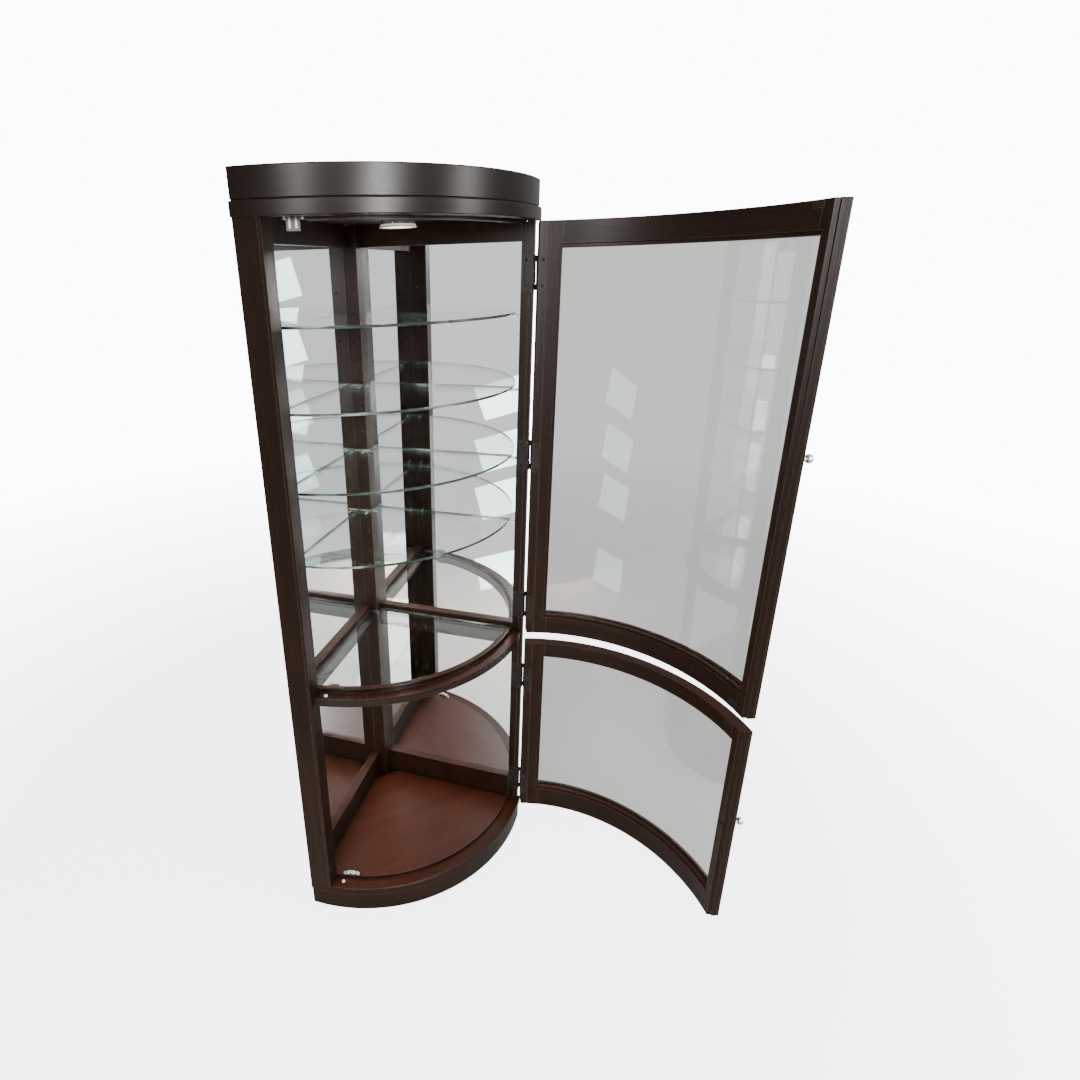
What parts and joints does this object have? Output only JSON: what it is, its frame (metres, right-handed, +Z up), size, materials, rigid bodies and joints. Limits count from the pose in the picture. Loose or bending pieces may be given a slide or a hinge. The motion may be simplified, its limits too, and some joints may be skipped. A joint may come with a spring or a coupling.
{
  "type": "corner display cabinet",
  "caption": "Quarter-round corner display cabinet with mirrored back, glass shelves, a lit upper case and a lower compartment behind curved glass doors.",
  "frame": {"origin": "rear corner where the two back planes meet, at floor level", "axes": "+Z up, -Y towards the middle of the curved front, +X to the right seen from the front; the walls run at 45 degrees"},
  "size_m": [0.9357, 0.9238, 1.829],
  "materials": {
    "wood": "dark satin stain",
    "wood_red": "reddish satin stain",
    "mirror": "silvered",
    "shelf_glass": "clear, green at the edge",
    "door_glass": "clear curved",
    "hardboard": "matt brown board",
    "nickel": "nickel plated",
    "chrome": "bright",
    "lamp_lens": "frosted",
    "cord": "matt",
    "knob_metal": "brushed",
    "bronze": "dark bronze",
    "catch_plastic": "moulded",
    "bumper": "soft"
  },
  "bodies": {
    "cabinet": {"plinth_front": "wood", "plinth_left": "wood", "plinth_right": "wood", "base_deck": "wood", "floor_panel": "wood_red", "left_front_post": "wood", "right_front_post": "wood", "rear_corner_post": "wood", "bottom_rail_left": "wood", "bottom_rail_right": "wood", "deck_rail_left": "wood", "deck_rail_right": "wood", "top_rail_left": "wood", "top_rail_right": "wood", "deck_frame": "wood_red", "deck_glass": "shelf_glass", "crown_lip": "wood", "crown_frieze": "wood", "ceiling_panel": "wood", "door_header": "wood", "upper_mirror_left": "mirror", "upper_mirror_right": "mirror", "lower_mirror_left": "mirror", "lower_mirror_right": "mirror", "back_panel_left": "hardboard", "back_panel_right": "hardboard", "shelf_1": "shelf_glass", "shelf_2": "shelf_glass", "shelf_3": "shelf_glass", "shelf_4": "shelf_glass", "shelf_pins": "nickel", "lamp_housing": "chrome", "lamp_flange": "chrome", "lamp_lens": "lamp_lens", "lamp_cord": "cord", "frame_hinge_leaves": "bronze", "hinge_pins": "bronze", "frame_hinge_screws": "bronze", "door_catches": "catch_plastic", "door_bumpers": "bumper"},
    "upper_door": {"upper_hinge_stile": "wood", "upper_latch_stile": "wood", "upper_top_rail": "wood", "upper_bottom_rail": "wood", "upper_door_glass": "door_glass", "upper_glass_beads": "wood", "upper_door_leaves": "bronze", "upper_strikes": "bronze", "upper_knob": "knob_metal", "upper_door_screws": "bronze"},
    "lower_door": {"lower_hinge_stile": "wood", "lower_latch_stile": "wood", "lower_top_rail": "wood", "lower_bottom_rail": "wood", "lower_door_glass": "door_glass", "lower_glass_beads": "wood", "lower_door_leaves": "bronze", "lower_strikes": "bronze", "lower_knob": "knob_metal", "lower_door_screws": "bronze"}
  },
  "joints": [
    {"name": "upper_door_hinge", "type": "hinge", "parent": "cabinet", "child": "upper_door", "pos_m": [0.32845, -0.34613, 1.2], "axis": [0, 0, 1], "range_deg": [-109, 10]},
    {"name": "lower_door_hinge", "type": "hinge", "parent": "cabinet", "child": "lower_door", "pos_m": [0.32845, -0.34613, 0.374], "axis": [0, 0, 1], "range_deg": [-109, 10]}
  ]
}
